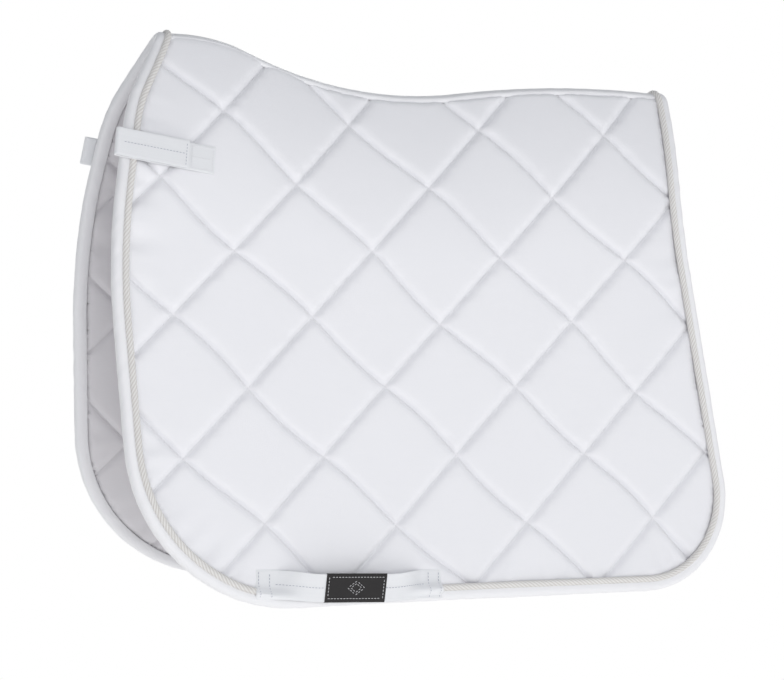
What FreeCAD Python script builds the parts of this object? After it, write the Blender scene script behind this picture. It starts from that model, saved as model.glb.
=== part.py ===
"""Quilted dressage saddle pad: two quilted halves that fold about a taped spine, each with a bound and
corded edge, a girth keeper along the bottom and a hook-and-loop billet strap at the upper front.

+X points to the horse's tail, +Y to its right side and +Z up.  The origin lies on the underside of the
spine, at the lowest point of the saddle seat.  The right half is modelled and mirrored to the left.
"""
import FreeCAD, Part
import math
import os
import Sketcher

Vector = FreeCAD.Vector
Rotation = FreeCAD.Rotation
DOC = FreeCAD.newDocument("saddle_pad")

SIZES = (
    ("ridge_radius", 18, "outer radius of the fold over the spine"),
    ("ridge_angle", 61, "slope of the pad where the ridge ends, in degrees"),
    ("flank_radius", 560, "outer radius of each flank below the ridge"),
    ("flank_angle", 81, "slope of the hanging flap, in degrees"),
    ("floor_level", -620, "lower end of the swept section, below every hem"),
    ("front_end", -400, "front end of the swept section"),
    ("rear_end", 400, "rear end of the swept section"),
    ("withers_radius", 200, "spine line: crown over the withers"),
    ("seat_radius", 450, "spine line: hollow under the saddle seat"),
    ("loin_radius", 1260, "spine line: crown over the loins"),
    ("withers_slope", 24, "steepest slope behind the withers, in degrees"),
    ("loin_slope", 8, "steepest slope in front of the loins, in degrees"),
    ("rear_slope", 4, "slope of the rear end, in degrees"),
    ("cover_thickness", 0.8, "outer satin and its backing"),
    ("wadding_thickness", 9.4, "polyester wadding"),
    ("lining_thickness", 0.8, "cotton lining"),
    ("tape_thickness", 1.2, "spine tapes and edge binding"),
    ("tape_angle", 50, "half of the spine tape, in degrees round the ridge"),
    ("panel_angle", 53, "upper edge of each half, in degrees round the ridge"),
    ("raw_edge", 2, "edge of the quilted layers, inside the fold of the binding"),
    ("binding_width", 10, "visible width of the binding"),
    ("cord_width", 7.5, "edge cord, across"),
    ("cord_height", 5, "edge cord, above the cover"),
    ("plate_height", 120, "upper end of the outline"),
    ("peak_x", -260, "outline corner: line of the withers point"),
    ("breast_x", -332, "outline corner: upper breast"),
    ("breast_z", -8, "outline corner: upper breast"),
    ("breast_round", 160, "rounding"),
    ("chest_x", -361, "outline corner: foremost edge"),
    ("chest_z", -159, "outline corner: foremost edge"),
    ("chest_round", 700, "rounding"),
    ("fore_hem_x", -345, "outline corner: lower front"),
    ("fore_hem_z", -532, "outline corner: lower front"),
    ("fore_hem_round", 178, "rounding"),
    ("hind_hem_x", 360, "outline corner: lower rear"),
    ("hind_hem_z", -543, "outline corner: lower rear"),
    ("hind_hem_round", 108, "rounding"),
    ("waist_x", 319, "outline corner: waist of the rear edge"),
    ("waist_z", -130, "outline corner: waist of the rear edge"),
    ("waist_round", 500, "rounding"),
    ("rear_x", 342, "outline corner: rear end of the spine"),
    ("webbing_width", 30, "billet straps and girth keepers"),
    ("webbing_thickness", 1.6, "billet straps and girth keepers"),
    ("sewing_gap", 0.5, "air between a sewn strap and the cover"),
    ("billet_front_x", -345, "centre of the fold at the strap's front end"),
    ("billet_rear_x", -243, "sewn rear end of the strap"),
    ("billet_level", -70.5, "height of the strap's centre line at its rear end"),
    ("billet_tilt", 8.5, "fall of the strap to the rear, in degrees"),
    ("billet_yaw", 3.8, "outward lean of the strap over the cord, in degrees"),
    ("billet_fold_radius", 1.7, "core of the fold"),
    ("billet_box_length", 30, "box-stitched end of the strap"),
    ("patch_thickness", 1.2, "hook patch and loop patch"),
    ("patch_inset", 2, "edge of the strap left free round a patch"),
    ("closing_gap", 0.3, "air between the closed hook and loop patches"),
    ("keeper_front_x", -222, "front end of the girth keeper"),
    ("keeper_length", 210, "sewn length of the girth keeper"),
    ("keeper_level", -514, "height of the keeper's centre line at mid-length"),
    ("keeper_tilt", 3, "fall of the keeper to the rear, in degrees"),
    ("keeper_yaw", -2.2, "turn of the keeper to follow the flank, in degrees"),
    ("keeper_foot", 7.2, "sewn ends of the keeper, over the cord"),
    ("keeper_gap", 13.5, "underside of the keeper above the cover, at mid-length"),
    ("keeper_tab", 18, "sewn tab at each end of the keeper"),
    ("keeper_ramp", 34, "rise of the keeper from a tab to its full gap"),
    ("label_length", 68, "woven label wrapped round the keeper"),
    ("label_thickness", 0.5, "woven label"),
    ("label_offset", 1, "label's centre behind the keeper's centre"),
)

SHEET = DOC.addObject("Spreadsheet::Sheet", "Sizes")
for row, (alias, value, note) in enumerate(SIZES, start=1):
    SHEET.set(f"A{row}", alias)
    SHEET.set(f"B{row}", str(value))
    SHEET.set(f"C{row}", note)
    SHEET.setAlias(f"B{row}", alias)
DOC.recompute()


def size(alias):
    return float(SHEET.get(alias))


def formula(text):
    """The text with every sheet alias turned into a reference to its cell."""
    for alias, _, _ in sorted(SIZES, key=lambda cell: -len(cell[0])):
        text = text.replace("{" + alias + "}", "Sizes." + alias)
    return text


def worth(text):
    """The number that a formula gives, for the first drawing of a sketch."""
    scratch = DOC.getObject("Scratch") or DOC.addObject("Spreadsheet::Sheet", "Scratch")
    scratch.set("A1", "=" + formula(text))
    scratch.recompute()
    return float(scratch.get("A1"))


# ---------------------------------------------------------------- sketches

def origin_plane(body, role):
    return next(plane for plane in body.Origin.OriginFeatures if plane.Role == role)


def new_sketch(body, name, role):
    sketch = body.newObject("Sketcher::SketchObject", name)
    sketch.AttachmentSupport = [(origin_plane(body, role), "")]
    sketch.MapMode = "FlatFace"
    return sketch


def bind(sketch, kind, places, text):
    """A dimension of the sketch that follows a formula of sheet cells."""
    index = sketch.addConstraint(Sketcher.Constraint(kind, *places, worth(text)))
    sketch.setExpression(f"Constraints[{index}]", formula(text))


def pin_point(sketch, edge, end, across, up):
    bind(sketch, "DistanceX", (-1, 1, edge, end), across)
    bind(sketch, "DistanceY", (-1, 1, edge, end), up)


def draw_polygon(sketch, corners):
    """A closed polygon whose corners are pairs of formulas."""
    points = [Vector(worth(across), worth(up), 0) for across, up in corners]
    for start, end in zip(points, points[1:] + points[:1]):
        sketch.addGeometry(Part.LineSegment(start, end), False)
    for edge, (across, up) in enumerate(corners):
        incoming = (edge - 1) % len(corners)
        sketch.addConstraint(Sketcher.Constraint("Coincident", incoming, 2, edge, 1))
        pin_point(sketch, edge, 1, across, up)


def rounding(before, corner, after, radius):
    """Start, middle and end of the arc that rounds a corner."""
    back = (before - corner).normalize()
    ahead = (after - corner).normalize()
    half = back.getAngle(ahead) / 2
    start = corner + back * (radius / math.tan(half))
    end = corner + ahead * (radius / math.tan(half))
    centre = corner + (back + ahead).normalize() * (radius / math.sin(half))
    middle = centre + (corner - centre).normalize() * radius
    return start, middle, end


def draw_rounded_outline(sketch, corners):
    """A closed outline of (across, up, radius) formulas, with an arc at each corner that has a radius."""
    points = [Vector(worth(across), worth(up), 0) for across, up, _ in corners]
    count = len(corners)
    runs = []
    for index, (_, _, radius) in enumerate(corners):
        corner = points[index]
        if radius:
            runs.append(rounding(points[index - 1], corner, points[(index + 1) % count], worth(radius)))
        else:
            runs.append((corner, corner, corner))
    for index in range(count):
        sketch.addGeometry(Part.LineSegment(runs[index][2], runs[(index + 1) % count][0]), False)
    for index, (across, up, radius) in enumerate(corners):
        incoming = (index - 1) % count
        if not radius:
            sketch.addConstraint(Sketcher.Constraint("Coincident", incoming, 2, index, 1))
            pin_point(sketch, index, 1, across, up)
            continue
        corner = sketch.addGeometry(Part.Point(points[index]), True)
        pin_point(sketch, corner, 1, across, up)
        sketch.addConstraint(Sketcher.Constraint("PointOnObject", corner, 1, incoming))
        sketch.addConstraint(Sketcher.Constraint("PointOnObject", corner, 1, index))
        arc = sketch.addGeometry(Part.Arc(*runs[index]), False)
        start = runs[index][0]
        first, last = sorted((1, 2), key=lambda end: sketch.getPoint(arc, end).distanceToPoint(start))
        sketch.addConstraint(Sketcher.Constraint("Tangent", incoming, 2, arc, first))
        sketch.addConstraint(Sketcher.Constraint("Tangent", arc, last, index, 1))
        bind(sketch, "Radius", (arc,), radius)


# ---------------------------------------------------------------- swept sections

PAD = "({cover_thickness} + {wadding_thickness} + {lining_thickness})"
RIDGE_TOP = f"({PAD} + {{tape_thickness}})"
WITHERS_RISE = "(({withers_radius} + {seat_radius}) * (1 - cos({withers_slope} * 1 deg)))"
OUTSIDE = {
    "cord_top": "{cord_height}",
    "tape_top": "{tape_thickness}",
    "cover_top": "0",
    "wadding_top": "-{cover_thickness}",
    "lining_top": "-({cover_thickness} + {wadding_thickness})",
    "lining_bottom": f"-{PAD}",
    "tape_bottom": f"-({PAD} + {{tape_thickness}})",
}


def draw_spine_line(sketch):
    """The line of the spine in the side view: level, withers, seat, loins, and a straight fall."""
    steep = math.radians(size("withers_slope"))
    mild = math.radians(size("loin_slope"))
    fall = math.radians(size("rear_slope"))
    withers, seat, loins = size("withers_radius"), size("seat_radius"), size("loin_radius")
    top = worth(f"{RIDGE_TOP} + {WITHERS_RISE}")
    ridge = worth(RIDGE_TOP)
    withers_x = -(withers + seat) * math.sin(steep)
    loin_x = seat * math.sin(mild)
    loin_z = ridge + seat * (1 - math.cos(mild))
    fall_x = loin_x + loins * (math.sin(mild) + math.sin(fall))
    fall_z = loin_z + loins * (math.cos(fall) - math.cos(mild))
    end = Vector(size("rear_end"), fall_z - (size("rear_end") - fall_x) * math.tan(fall), 0)

    def crown(centre_x, centre_z, radius, angle):
        return Vector(centre_x + radius * math.sin(angle), centre_z + radius * math.cos(angle), 0)

    def hollow(centre_x, centre_z, radius, angle):
        return Vector(centre_x + radius * math.sin(angle), centre_z - radius * math.cos(angle), 0)

    loin_centre_x = loin_x + loins * math.sin(mild)
    loin_centre_z = loin_z - loins * math.cos(mild)
    points = (
        Vector(size("front_end"), top, 0),
        crown(withers_x, top - withers, withers, 0),
        crown(withers_x, top - withers, withers, steep),
        hollow(0, ridge + seat, seat, mild),
        crown(loin_centre_x, loin_centre_z, loins, fall),
    )
    sketch.addGeometry(Part.LineSegment(points[0], points[1]), False)
    withers_middle = crown(withers_x, top - withers, withers, steep / 2)
    sketch.addGeometry(Part.Arc(points[1], withers_middle, points[2]), False)
    sketch.addGeometry(Part.Arc(points[2], hollow(0, ridge + seat, seat, 0), points[3]), False)
    sketch.addGeometry(Part.Arc(points[3], crown(loin_centre_x, loin_centre_z, loins, 0), points[4]), False)
    sketch.addGeometry(Part.LineSegment(points[4], end), False)

    front, rear = 1, 2
    ends = [(0, front, rear), (1, rear, front), (2, front, rear), (3, rear, front), (4, front, rear)]
    for (edge, _, last), (following, first, _) in zip(ends, ends[1:]):
        sketch.addConstraint(Sketcher.Constraint("Tangent", edge, last, following, first))
    sketch.addConstraint(Sketcher.Constraint("Horizontal", 0))
    pin_point(sketch, 0, front, "{front_end}", f"{RIDGE_TOP} + {WITHERS_RISE}")
    crown_place = "-({withers_radius} + {seat_radius}) * sin({withers_slope} * 1 deg)"
    bind(sketch, "DistanceX", (-1, 1, 0, rear), crown_place)
    for edge, radius in enumerate(("withers_radius", "seat_radius", "loin_radius"), start=1):
        bind(sketch, "Radius", (edge,), f"{{{radius}}}")
    bind(sketch, "DistanceX", (-1, 1, 2, front), "-{seat_radius} * sin({withers_slope} * 1 deg)")
    bind(sketch, "DistanceX", (-1, 1, 3, rear), "{seat_radius} * sin({loin_slope} * 1 deg)")
    loin_run = "{loin_radius} * (sin({loin_slope} * 1 deg) + sin({rear_slope} * 1 deg))"
    bind(sketch, "DistanceX", (3, rear, 3, front), loin_run)
    bind(sketch, "DistanceX", (-1, 1, 4, rear), "{rear_end}")


def draw_section(sketch, outside):
    """Half of the pad's cross-section, filled in to the middle plane and grown by a formula."""
    ridge_slope = math.radians(size("ridge_angle"))
    flank_slope = math.radians(size("flank_angle"))
    ridge = worth(f"{{ridge_radius}} + ({outside})")
    flank = worth(f"{{flank_radius}} + ({outside})")
    centre = Vector(0, worth(f"{RIDGE_TOP} + {WITHERS_RISE} - {{ridge_radius}}"), 0)
    floor = size("floor_level")

    def around(middle, radius, slope):
        return middle + Vector(math.sin(slope), math.cos(slope), 0) * radius

    flank_centre = around(centre, ridge - flank, ridge_slope)
    crest = around(centre, ridge, 0)
    shoulder = around(centre, ridge, ridge_slope)
    belly = around(flank_centre, flank, flank_slope)
    fall = (belly.y - floor) / math.sin(flank_slope)
    hem = belly + Vector(math.cos(flank_slope), -math.sin(flank_slope), 0) * fall
    foot = Vector(0, floor, 0)
    sketch.addGeometry(Part.Arc(crest, around(centre, ridge, ridge_slope / 2), shoulder), False)
    flank_middle = around(flank_centre, flank, (ridge_slope + flank_slope) / 2)
    sketch.addGeometry(Part.Arc(shoulder, flank_middle, belly), False)
    sketch.addGeometry(Part.LineSegment(belly, hem), False)
    sketch.addGeometry(Part.LineSegment(hem, foot), False)
    sketch.addGeometry(Part.LineSegment(foot, crest), False)

    upper, lower = 2, 1
    sketch.addConstraint(Sketcher.Constraint("Tangent", 0, lower, 1, upper))
    sketch.addConstraint(Sketcher.Constraint("Tangent", 1, lower, 2, 1))
    sketch.addConstraint(Sketcher.Constraint("Coincident", 2, 2, 3, 1))
    sketch.addConstraint(Sketcher.Constraint("Coincident", 3, 2, 4, 1))
    sketch.addConstraint(Sketcher.Constraint("Coincident", 4, 2, 0, upper))
    pin_point(sketch, 0, 3, "0", f"{RIDGE_TOP} + {WITHERS_RISE} - {{ridge_radius}}")
    for edge, part in enumerate(("ridge", "flank")):
        radius = f"({{{part}_radius}} + ({outside}))"
        bind(sketch, "Radius", (edge,), radius)
        bind(sketch, "DistanceX", (edge, 3, edge, lower), f"{radius} * sin({{{part}_angle}} * 1 deg)")
    sketch.addConstraint(Sketcher.Constraint("PointOnObject", 0, upper, -2))
    pin_point(sketch, 3, 2, "0", "{floor_level}")
    sketch.addConstraint(Sketcher.Constraint("Horizontal", 3))


def swept(name, draw):
    """A section drawn at the front end, carried along the spine line without turning."""
    body = DOC.addObject("PartDesign::Body", name)
    section = new_sketch(body, f"{name}_section", "YZ_Plane")
    section.setExpression(".AttachmentOffset.Base.z", formula("{front_end}"))
    draw(section)
    spine = new_sketch(body, f"{name}_spine", "XZ_Plane")
    draw_spine_line(spine)
    DOC.recompute()
    sweep = body.newObject("PartDesign::AdditivePipe", f"{name}_sweep")
    sweep.Profile = section
    sweep.Spine = (spine, [f"Edge{edge + 1}" for edge in range(len(spine.Shape.Edges))])
    sweep.Mode = "Fixed"
    body.Tip = sweep
    DOC.recompute()
    return body


def envelope(name):
    return swept(name, lambda sketch: draw_section(sketch, OUTSIDE[name]))


def wedge(name, angle):
    """The space over the ridge, up to an angle round it, on the right side."""
    centre = f"({RIDGE_TOP} + {WITHERS_RISE} - {{ridge_radius}})"
    reach = "(2 * {ridge_radius})"
    corners = (
        ("0", centre),
        (f"{reach} * tan({{{angle}}} * 1 deg)", f"{centre} + {reach}"),
        ("0", f"{centre} + {reach}"),
    )
    return swept(name, lambda sketch: draw_polygon(sketch, corners))


# ---------------------------------------------------------------- outline plates

PAD_OUTLINE = (
    ("{peak_x}", "{plate_height}", ""),
    ("{breast_x}", "{breast_z}", "{breast_round}"),
    ("{chest_x}", "{chest_z}", "{chest_round}"),
    ("{fore_hem_x}", "{fore_hem_z}", "{fore_hem_round}"),
    ("{hind_hem_x}", "{hind_hem_z}", "{hind_hem_round}"),
    ("{waist_x}", "{waist_z}", "{waist_round}"),
    ("{rear_x}", "{plate_height}", ""),
)
INSETS = {
    "core_plate": "{raw_edge}",
    "quilt_plate": "{binding_width}",
    "field_plate": "{binding_width} + {cord_width}",
}


def outline_plates():
    """The pad's outline, and the same drawn in by each inset, as plates right through the right half."""
    outline = DOC.addObject("Sketcher::SketchObject", "pad_outline")
    outline.Placement = FreeCAD.Placement(Vector(), Rotation(Vector(1, 0, 0), 90))
    draw_rounded_outline(outline, PAD_OUTLINE)
    outlines = {"pad_plate": outline}
    for name, inset in INSETS.items():
        outlines[name] = DOC.addObject("Part::Offset2D", f"{name}_outline")
        outlines[name].Source = outline
        outlines[name].Join = "Intersection"
        outlines[name].setExpression("Value", formula(f"-({inset})"))
    return {name: plate(name, source) for name, source in outlines.items()}


def plate(name, outline):
    block = DOC.addObject("Part::Extrusion", name)
    block.Base = outline
    block.DirMode = "Custom"
    block.Dir = Vector(0, 1, 0)
    block.Solid = True
    block.setExpression("LengthFwd", formula("{flank_radius}"))
    DOC.recompute()
    return block


# ---------------------------------------------------------------- booleans

def boolean(kind, name, base, tool):
    result = DOC.addObject(f"Part::{kind}", name)
    result.Base = base
    result.Tool = tool
    return result


def mirrored(name, source):
    """The same piece on the left side."""
    copy = DOC.addObject("Part::Mirroring", name)
    copy.Source = source
    copy.Normal = Vector(0, 1, 0)
    return copy


def layer(name, outer, inner, field):
    """The layer between two envelopes, within an outline plate."""
    shell = boolean("Cut", f"{name}_shell", outer, inner)
    return boolean("Common", f"{name}_layer", shell, field)


# ---------------------------------------------------------------- sewn straps

def spine_level(across):
    """Height of the cover on the spine, at a distance along it."""
    steep = math.radians(size("withers_slope"))
    mild = math.radians(size("loin_slope"))
    withers, seat, loins = size("withers_radius"), size("seat_radius"), size("loin_radius")
    ridge = worth(RIDGE_TOP)
    crown_x = -(withers + seat) * math.sin(steep)
    if across < crown_x:
        return ridge + worth(WITHERS_RISE)
    if across < -seat * math.sin(steep):
        return ridge + worth(WITHERS_RISE) - withers + math.sqrt(withers**2 - (across - crown_x) ** 2)
    if across < seat * math.sin(mild):
        return ridge + seat - math.sqrt(seat**2 - across**2)
    loin_x = (seat + loins) * math.sin(mild)
    loin_z = ridge + (seat + loins) * (1 - math.cos(mild)) - loins
    return loin_z + math.sqrt(loins**2 - (across - loin_x) ** 2)


def flank_point(across, level):
    """Point of the right flank's cover, and the flank's slope there in degrees."""
    ridge_slope = math.radians(size("ridge_angle"))
    flank_slope = math.radians(size("flank_angle"))
    ridge, flank = size("ridge_radius"), size("flank_radius")
    centre_y = (ridge - flank) * math.sin(ridge_slope)
    centre_z = spine_level(across) - ridge + (ridge - flank) * math.cos(ridge_slope)
    slope = math.acos(min(1, (level - centre_z) / flank)) if level > centre_z else flank_slope
    slope = min(slope, flank_slope)
    out = centre_y + flank * math.sin(slope)
    fall = centre_z + flank * math.cos(slope) - level
    return Vector(across, out + fall / math.tan(slope), level), math.degrees(slope)


def on_flank(across, level, tilt, yaw):
    """Frame on the right flank: X along the strap, Y out of the cover and Z up the slope."""
    point, slope = flank_point(across, level)
    lean = Rotation(Vector(1, 0, 0), 90 - slope)
    fall = Rotation(Vector(0, 1, 0), tilt)
    turn = Rotation(Vector(0, 0, 1), yaw)
    return FreeCAD.Placement(point, lean.multiply(fall).multiply(turn))


def webbing(name, corners, width, place):
    """A strap piece: its side view from above, made as wide as the webbing."""
    body = DOC.addObject("PartDesign::Body", name)
    profile = new_sketch(body, f"{name}_profile", "XY_Plane")
    draw_polygon(profile, corners)
    pad = body.newObject("PartDesign::Pad", f"{name}_pad")
    pad.Profile = profile
    pad.SideType = "Symmetric"
    pad.setExpression("Length", formula(width))
    body.Tip = pad
    body.Placement = place
    DOC.recompute()
    return body


def slab(start, end, low, high):
    """Corners of a flat piece between two distances along a strap and two heights."""
    return ((start, low), (end, low), (end, high), (start, high))


BILLET = "({billet_rear_x} - {billet_front_x})"
BASE_TOP = "({sewing_gap} + {webbing_thickness})"
LOOP_TOP = f"({BASE_TOP} + {{patch_thickness}})"
HOOK_LOW = f"({LOOP_TOP} + {{closing_gap}})"
HOOK_TOP = f"({HOOK_LOW} + {{patch_thickness}})"
FLAP_TOP = f"({HOOK_TOP} + {{webbing_thickness}})"
FOLD_LEVEL = f"({HOOK_TOP} - {{billet_fold_radius}} - {{closing_gap}})"
PATCH = "({webbing_width} - 2 * {patch_inset})"


def billet_pieces():
    """The hook-and-loop strap, measured from its sewn rear end towards the front."""
    place = on_flank(size("billet_rear_x"), size("billet_level"), size("billet_tilt"), -size("billet_yaw"))
    front = f"-{BILLET}"
    flap_end = "-{billet_box_length}"
    loop_front = f"({front} + 3 * {{billet_fold_radius}})"
    base = webbing("billet_base", slab(front, "0", "{sewing_gap}", BASE_TOP), "{webbing_width}", place)
    fold = new_sketch(base, "billet_fold", "XY_Plane")
    fold.addGeometry(Part.Circle(Vector(worth(front), worth(FOLD_LEVEL), 0), Vector(0, 0, 1), 1), False)
    bind(fold, "Radius", (0,), "{billet_fold_radius}")
    pin_point(fold, 0, 3, front, FOLD_LEVEL)
    core = base.newObject("PartDesign::Pad", "billet_fold_pad")
    core.Profile = fold
    core.SideType = "Symmetric"
    core.setExpression("Length", formula("{webbing_width}"))
    base.Tip = core
    loop = slab(loop_front, f"({flap_end} - {{patch_inset}})", BASE_TOP, LOOP_TOP)
    hook = slab(loop_front, f"({flap_end} - {{patch_inset}})", HOOK_LOW, HOOK_TOP)
    flap = slab(front, flap_end, HOOK_TOP, FLAP_TOP)
    return {
        "billet_strap_base": base,
        "billet_loop_patch": webbing("loop_patch", loop, PATCH, place),
        "billet_hook_patch": webbing("hook_patch", hook, PATCH, place),
        "billet_strap_flap": webbing("billet_flap", flap, "{webbing_width}", place),
    }


def bowed(start, gap, thickness):
    """Side view of a strap sewn flat at both ends and standing off between them."""
    length = "{keeper_length}"
    foot = "{keeper_foot}"
    rise_end = "({keeper_tab} + {keeper_ramp})"
    path = (
        ("0", foot),
        ("{keeper_tab}", foot),
        (rise_end, gap),
        (f"({length} - {rise_end})", gap),
        (f"({length} - {{keeper_tab}})", foot),
        (length, foot),
    )
    lower = [(f"({start} + {across})", up) for across, up in path]
    upper = [(across, f"({up} + {thickness})") for across, up in lower]
    return lower + upper[::-1]


def keeper_frame():
    middle = size("keeper_front_x") + size("keeper_length") / 2
    return on_flank(middle, size("keeper_level"), size("keeper_tilt"), size("keeper_yaw"))


def keeper_piece():
    """The girth keeper, measured from its middle."""
    profile = bowed("(-{keeper_length} / 2)", "{keeper_gap}", "{webbing_thickness}")
    return webbing("keeper", profile, "{webbing_width}", keeper_frame())


def label_piece(keeper):
    """The woven label, a flat band round the middle of the keeper."""
    start = "({label_offset} - {label_length} / 2)"
    end = "({label_offset} + {label_length} / 2)"
    low = "({keeper_gap} - {label_thickness})"
    high = "({keeper_gap} + {webbing_thickness} + {label_thickness})"
    width = "({webbing_width} + 2 * {label_thickness})"
    band = webbing("label_band", slab(start, end, low, high), width, keeper_frame())
    return boolean("Cut", "label_ring", band, keeper)


# ---------------------------------------------------------------- assembly

def quilted_layers(envelopes, plates):
    """The quilted layers, binding and cord of the right side, up to the middle plane."""
    core = layer("core", envelopes["cover_top"], envelopes["lining_bottom"], plates["core_plate"])
    hem_ring = boolean("Cut", "hem_ring", plates["pad_plate"], plates["quilt_plate"])
    cord_ring = boolean("Cut", "cord_ring", plates["quilt_plate"], plates["field_plate"])
    wrap = layer("wrap", envelopes["tape_top"], envelopes["tape_bottom"], hem_ring)
    return {
        "core": core,
        "cover": layer("cover", envelopes["cover_top"], envelopes["wadding_top"], plates["core_plate"]),
        "wadding": layer("wadding", envelopes["wadding_top"], envelopes["lining_top"], plates["core_plate"]),
        "lining": layer("lining", envelopes["lining_top"], envelopes["lining_bottom"], plates["core_plate"]),
        "edge_binding": boolean("Cut", "hem", wrap, core),
        "edge_cord": layer("rib", envelopes["cord_top"], envelopes["cover_top"], cord_ring),
    }


def spine_pieces(envelopes, plates, layers):
    """The pieces on the spine, each made of its right half and the mirror image."""
    ridge = wedge("tape_wedge", "tape_angle")
    halves = {
        "spine_tape": layer("tape", envelopes["tape_top"], envelopes["cover_top"], plates["field_plate"]),
        "inner_spine_tape": layer("under_tape", envelopes["lining_bottom"], envelopes["tape_bottom"],
                                  plates["quilt_plate"]),
        "spine_seam": layers["core"],
        "centre_edge_binding": layers["edge_binding"],
        "centre_edge_cord": layers["edge_cord"],
    }
    pieces = {}
    for label, half in halves.items():
        right = boolean("Common", f"{label}_right", half, ridge)
        pieces[label] = boolean("Fuse", label, right, mirrored(f"{label}_left", right))
    return pieces


def side_pieces(layers):
    """Every piece of the right half, cut back from the spine."""
    clear = wedge("panel_wedge", "panel_angle")
    pieces = {
        label: boolean("Cut", f"{label}_half", layers[label], clear)
        for label in ("cover", "wadding", "lining", "edge_binding", "edge_cord")
    }
    pieces.update(billet_pieces())
    pieces["girth_keeper"] = keeper_piece()
    return pieces


def checked(pieces):
    """Gives every piece its label and refuses a broken one."""
    DOC.recompute()
    broken = [entry.Name for entry in DOC.Objects if {"Invalid", "Error"} & set(entry.State)]
    if broken:
        raise RuntimeError(f"not built: {broken}")
    for label, piece in pieces.items():
        piece.Label = label
        if piece.Shape.isNull() or not piece.Shape.isValid() or not piece.Shape.Solids:
            raise RuntimeError(f"no valid solid: {label}")
    return pieces


def build():
    envelopes = {name: envelope(name) for name in OUTSIDE}
    plates = outline_plates()
    layers = quilted_layers(envelopes, plates)
    pieces = spine_pieces(envelopes, plates, layers)
    right = side_pieces(layers)
    for label, piece in right.items():
        pieces[f"right_{label}"] = piece
        pieces[f"left_{label}"] = mirrored(f"left_{label}", piece)
    pieces["left_label_band"] = mirrored("left_label", label_piece(right["girth_keeper"]))
    DOC.removeObject("Scratch")
    return checked(pieces)


os.makedirs("parts", exist_ok=True)
for label, piece in build().items():
    piece.Shape.exportStep(f"parts/{label}.step")
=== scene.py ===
"""Quilted white dressage saddle pad, hung open over an unseen back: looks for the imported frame."""

import math

import bmesh
import bpy
import numpy as np
from mathutils import Matrix, Vector, noise


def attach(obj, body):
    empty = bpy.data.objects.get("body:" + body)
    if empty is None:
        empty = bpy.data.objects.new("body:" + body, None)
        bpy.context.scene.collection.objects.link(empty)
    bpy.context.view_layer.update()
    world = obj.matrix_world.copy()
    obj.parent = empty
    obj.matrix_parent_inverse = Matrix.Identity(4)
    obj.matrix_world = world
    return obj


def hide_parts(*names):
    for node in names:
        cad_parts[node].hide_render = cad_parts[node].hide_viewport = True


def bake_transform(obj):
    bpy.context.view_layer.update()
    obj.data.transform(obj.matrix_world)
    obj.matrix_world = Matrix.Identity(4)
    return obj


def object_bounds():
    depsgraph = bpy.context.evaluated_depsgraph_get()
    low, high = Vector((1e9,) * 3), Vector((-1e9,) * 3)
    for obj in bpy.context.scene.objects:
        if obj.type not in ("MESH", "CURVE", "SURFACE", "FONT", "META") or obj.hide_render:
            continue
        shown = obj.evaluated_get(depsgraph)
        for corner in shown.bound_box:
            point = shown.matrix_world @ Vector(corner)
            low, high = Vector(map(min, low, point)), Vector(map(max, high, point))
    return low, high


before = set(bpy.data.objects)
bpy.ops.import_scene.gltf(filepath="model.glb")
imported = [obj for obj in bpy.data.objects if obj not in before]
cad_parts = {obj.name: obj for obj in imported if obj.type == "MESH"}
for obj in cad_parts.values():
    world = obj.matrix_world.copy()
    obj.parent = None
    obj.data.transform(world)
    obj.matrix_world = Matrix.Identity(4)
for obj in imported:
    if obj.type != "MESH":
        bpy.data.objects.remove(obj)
CAD_BOX = [list(corner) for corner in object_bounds()]
SIDES = {"left": -1, "right": 1}

# ---- driving sizes, in metres

RIDGE_RADIUS = 0.018
RIDGE_SLOPE = math.radians(61)
FLANK_RADIUS = 0.560
FLANK_SLOPE = math.radians(81)
WITHERS_RADIUS, SEAT_RADIUS, LOIN_RADIUS = 0.200, 0.450, 1.260
WITHERS_SLOPE, LOIN_SLOPE, REAR_SLOPE = (math.radians(angle) for angle in (24, 8, 4))
SEAT_TOP = 0.0122
OUTLINE = (
    (-0.260, 0.120, 0),
    (-0.332, -0.008, 0.160),
    (-0.361, -0.159, 0.700),
    (-0.345, -0.532, 0.178),
    (0.360, -0.543, 0.108),
    (0.319, -0.130, 0.500),
    (0.342, 0.120, 0),
)
PAD_THICKNESS = 0.011
BINDING_WIDTH = 0.010
CORD_RADIUS = 0.0039
CORD_LEAD = 0.0135  # middle of the cord, in from the pad's edge
WEBBING_WIDTH = 0.030
WEBBING_THICKNESS = 0.0016


# ---- measuring lines of points

def lengths_along(points):
    """Length travelled from the first point of a line to each of its points."""
    return np.concatenate([[0], np.cumsum(np.linalg.norm(np.diff(points, axis=0), axis=1))])


def unit(vectors):
    """The same directions, each made one metre long."""
    return vectors / np.maximum(np.linalg.norm(vectors, axis=1), 1e-9)[:, None]


def read_at(places, along, values):
    """A line's values, read off at other places along it."""
    return np.stack([np.interp(places, along, values[:, axis]) for axis in range(values.shape[1])], -1)


def smooth_step(share):
    """Nought to one with a soft start and a soft end."""
    share = np.clip(share, 0, 1)
    return share * share * (3 - 2 * share)


# ---- the pad's own surface

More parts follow.
